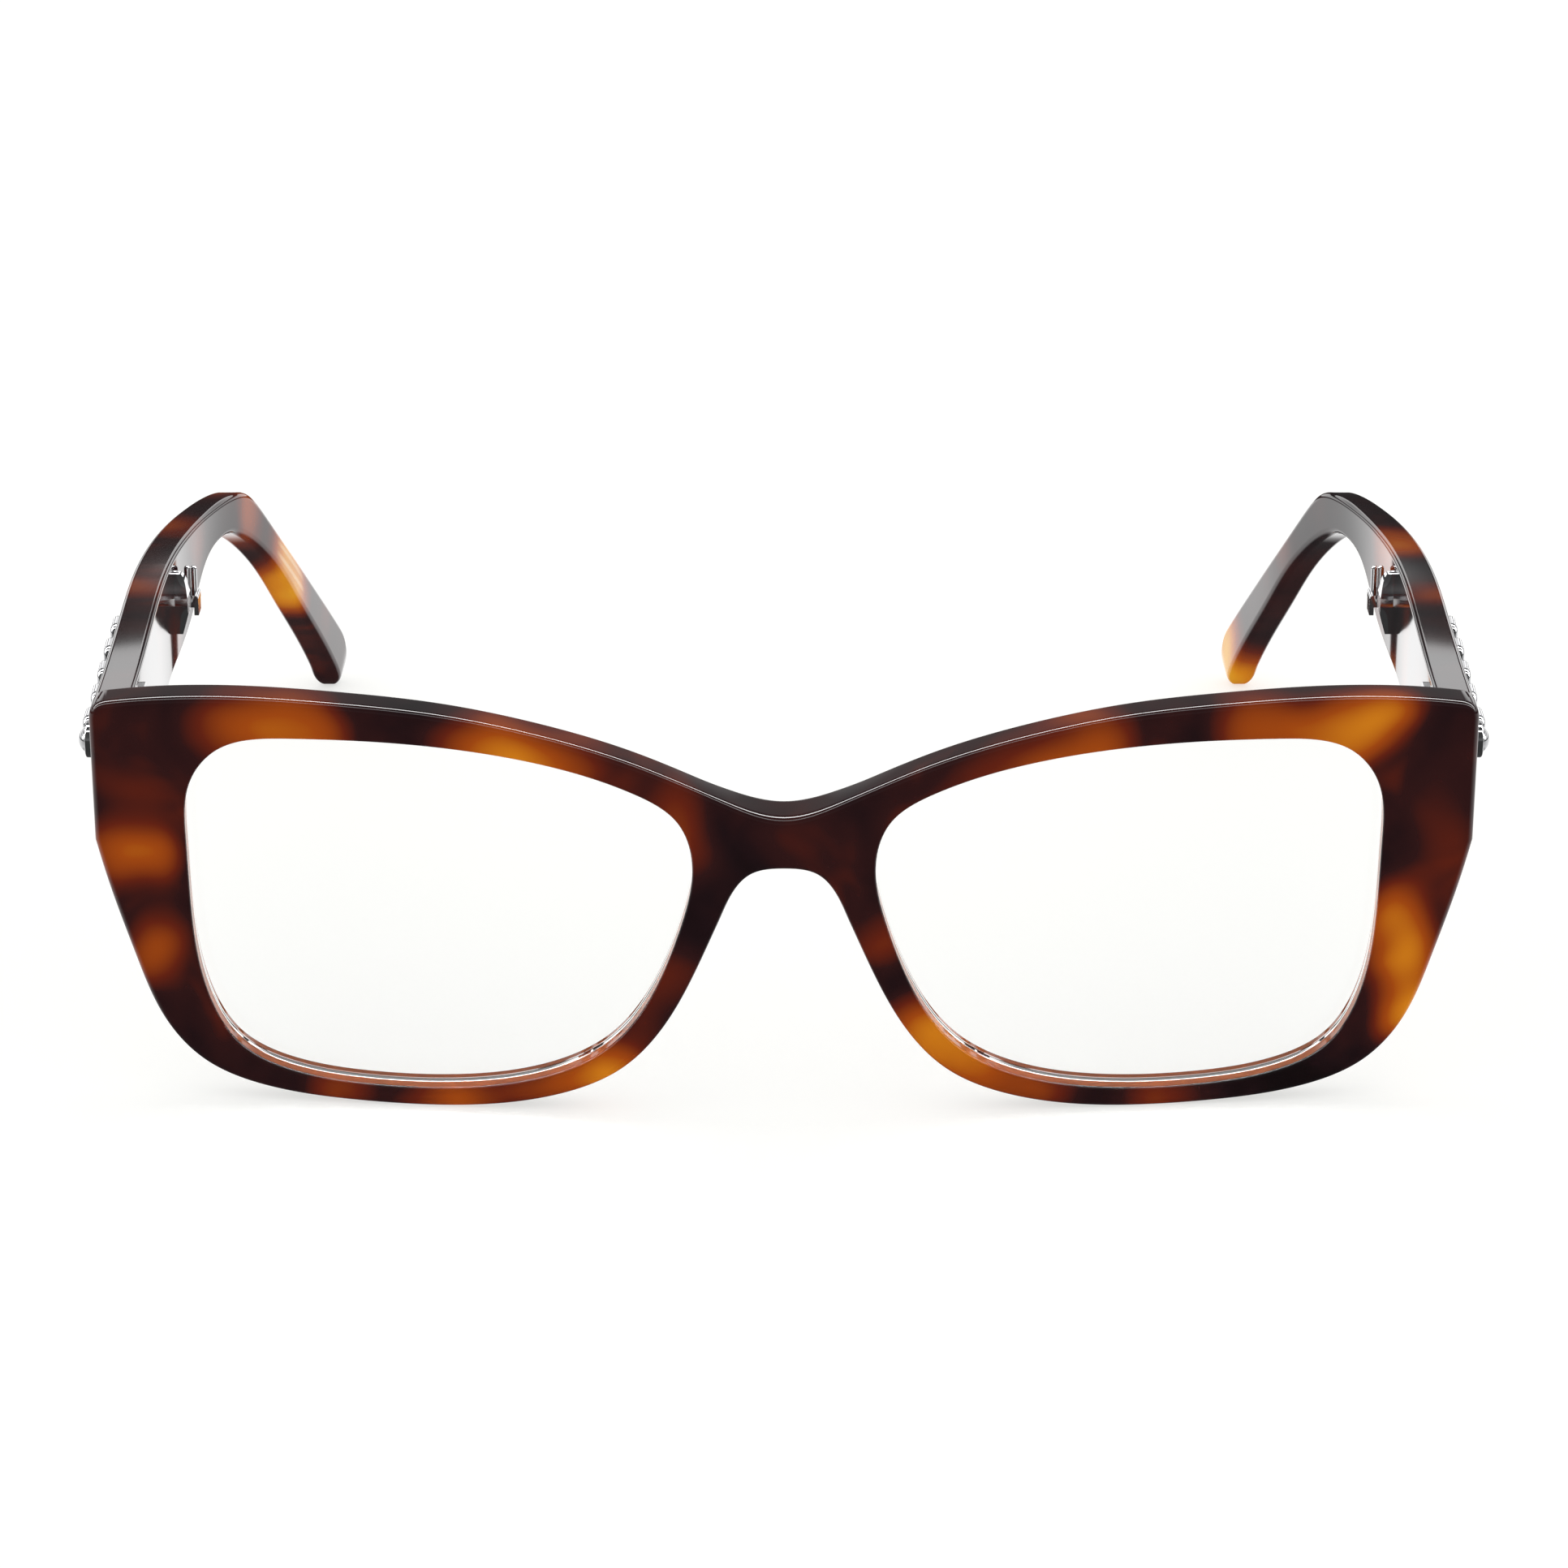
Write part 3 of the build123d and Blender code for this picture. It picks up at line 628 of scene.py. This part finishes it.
def metal(name, colour, roughness, scratch):
    """A metal with fine wear in its roughness."""
    mat, tree, shader = new_material(name)
    grain = noise(tree, object_place(tree), 900.0, 4.0, 0.6).outputs["Fac"]
    worn = remap(tree, grain, 0.0, 1.0, roughness * 0.7, roughness * 1.4)
    tree.links.new(worn, shader.inputs["Roughness"])
    tone = mix(tree, grain, colour, tuple(c * 0.9 for c in colour[:3]) + (1.0,))
    tree.links.new(tone, shader.inputs["Base Color"])
    bump = tree.nodes.new("ShaderNodeBump")
    bump.inputs["Strength"].default_value = scratch
    bump.inputs["Distance"].default_value = 0.00001
    tree.links.new(grain, bump.inputs["Height"])
    tree.links.new(bump.outputs["Normal"], shader.inputs["Normal"])
    shader.inputs["Metallic"].default_value = 1.0
    return mat


# ---------------------------------------------------------------- the object

def give(obj, *mats):
    """Put materials on an object, and keep which face takes which."""
    slots = [face.material_index for face in obj.data.polygons]
    obj.data.materials.clear()
    for mat in mats:
        obj.data.materials.append(mat)
    if len(mats) > 1:
        obj.data.polygons.foreach_set("material_index", slots)


def add_piece(name, bm, body, mat, node, crease=32):
    obj = make_object(name, bm, crease)
    obj.data.materials.append(mat)
    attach(obj, body)
    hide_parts(node)
    return obj


def build_object():
    shell = acetate("acetate_tortoise")
    glass = clear_lens()
    chrome = metal("trim_polished", (0.70, 0.70, 0.715, 1), 0.07, 0.15)
    steel = metal("hinge_steel", (0.62, 0.62, 0.63, 1), 0.22, 0.35)
    screw = metal("screw_steel", (0.55, 0.55, 0.56, 1), 0.2, 0.3)
    wire = metal("wire_steel", (0.45, 0.43, 0.40, 1), 0.3, 0.3)
    front = add_piece("front_acetate", front_mesh(), "front", shell, "front_frame")
    # The eye openings' walls take the acetate with a painted glow for the light that comes through the sheet.
    give(front, shell, acetate("acetate_eye_edge_painted_glow", 0.55))
    for name, side in (("left", 1), ("right", -1)):
        lens = add_piece(name + "_lens_glass", lens_mesh(side), "front", glass, name + "_lens", 25)
        lens.visible_shadow = False
        add_piece(name + "_pad", pad_mesh(side), "front", shell, name + "_nose_pad")
        add_piece(name + "_temple_acetate", temple_mesh(side), name + "_temple", shell,
                  name + "_temple")
        for part, mat in (("hinge_front_leaf", steel), ("hinge_temple_leaf", steel), ("hinge_screw", screw),
                          ("trim_studs", chrome), ("trim_bead", chrome), ("trim_ring", chrome),
                          ("clasp_leaf", chrome), ("clasp_block", chrome), ("clasp_prongs", chrome),
                          ("clasp_screw", screw), ("core_wire", wire)):
            give(frame["nodes"][name + "_" + part], mat)


# ---------------------------------------------------------------- the studio

def build_world():
    """White to the eye, but banded for reflections: pale low behind the glasses, dark along the horizon, a
    softbox above it, a bright strip overhead and little light in front."""
    world = bpy.data.worlds.new("studio")
    bpy.context.scene.world = world
    world.use_nodes = True
    tree = world.node_tree
    back = tree.nodes["Background"]
    split = tree.nodes.new("ShaderNodeSeparateXYZ")
    tree.links.new(tree.nodes.new("ShaderNodeTexCoord").outputs["Generated"], split.inputs[0])
    across, deep, up = split.outputs
    dark = 0.03

    def band(source, stops):
        """A radiance that follows one direction component, from -1 to 1."""
        share = math_node(tree, "MULTIPLY_ADD", source, 0.5, 0.5)
        return ramp(tree, share, [(0.5 + 0.5 * at, (value, value, value, 1)) for at, value in stops])

    def height(degrees):
        return math.sin(math.radians(degrees))

    low = [(-1, 0.04), (height(-45), 0.06), (height(-36), 0.86), (height(-10), 0.86), (height(-8.5), dark)]
    line = [(height(-4), dark), (height(-3), 1.0), (height(7), 1.0), (height(8), dark)]
    aside = remap(tree, math_node(tree, "ABSOLUTE", across), 0.18, 0.26)
    behind = mix(tree, aside, band(up, low + [(1, dark)]), band(up, low + line + [(1, dark)]))
    softbox = band(up, [(-1, 1.0), (height(15), 1.0), (height(22), 0.20), (height(42), 0.16),
                        (height(48), dark), (1, dark)])
    behind = mix(tree, math_node(tree, "GREATER_THAN", up, height(11.8)), behind, softbox)
    before = band(up, [(-1, dark), (height(5), dark), (height(15), 0.10), (height(30), 0.05), (1, dark)])
    sides = band(deep, [(-1, 0), (-0.45, 0), (0.05, 0.5), (0.78, 0.75), (0.92, 1), (1, 1)])
    around = mix(tree, sides, before, behind)

    # The overhead strip runs from side to side, so its height is measured in the plane of Y and Z.
    squared = math_node(tree, "MULTIPLY", across, across)
    upright = math_node(tree, "SQRT", math_node(tree, "SUBTRACT", 1.0, squared))
    steep = math_node(tree, "DIVIDE", up, upright)
    strip = remap(tree, steep, height(62), height(68), 0.0, 22.0, smooth=True)
    strip = math_node(tree, "MULTIPLY", strip, remap(tree, steep, height(77), height(72), smooth=True))
    lit = mix(tree, 1.0, around, math_node(tree, "MULTIPLY", strip, sides), "ADD")
    glossy = tree.nodes.new("ShaderNodeLightPath").outputs["Is Glossy Ray"]
    tree.links.new(mix(tree, glossy, (1, 1, 0.995, 1), lit), back.inputs["Color"])
    tree.links.new(math_node(tree, "MULTIPLY_ADD", glossy, 0.6, 1.0), back.inputs["Strength"])


def build_studio():
    build_world()
    bm = bmesh.new()
    bmesh.ops.create_grid(bm, x_segments=8, y_segments=8, size=4.0)
    floor = make_object("floor", bm)
    mat, tree, shader = new_material("floor_pale")
    cloud = noise(tree, object_place(tree), 3.0).outputs["Fac"]
    tint = ramp(tree, cloud, [(0.0, (0.44, 0.44, 0.43, 1)), (1.0, (0.46, 0.46, 0.455, 1))])
    tree.links.new(tint, shader.inputs["Base Color"])
    shader.inputs["Roughness"].default_value = 0.7
    shader.inputs["Specular IOR Level"].default_value = 0.0
    shader.inputs["Emission Color"].default_value = (0.995, 0.995, 0.975, 1)
    shader.inputs["Emission Strength"].default_value = 0.62
    give(floor, mat)
    floor.visible_glossy = False


def build_camera():
    """The camera: a long lens in front of the glasses, looking 20 degrees down."""
    data = bpy.data.cameras.new("camera")
    data.sensor_width = 36.0
    data.lens = 130.4
    data.clip_start = 0.01
    data.clip_end = 50
    obj = bpy.data.objects.new("camera", data)
    obj.location = to_scene(0, -542.2, 233.7)
    obj.rotation_euler = (math.radians(70), 0, 0)
    bpy.context.collection.objects.link(obj)
    bpy.context.scene.camera = obj


build_object()
build_studio()
build_camera()
bpy.context.scene.view_settings.view_transform = "Standard"
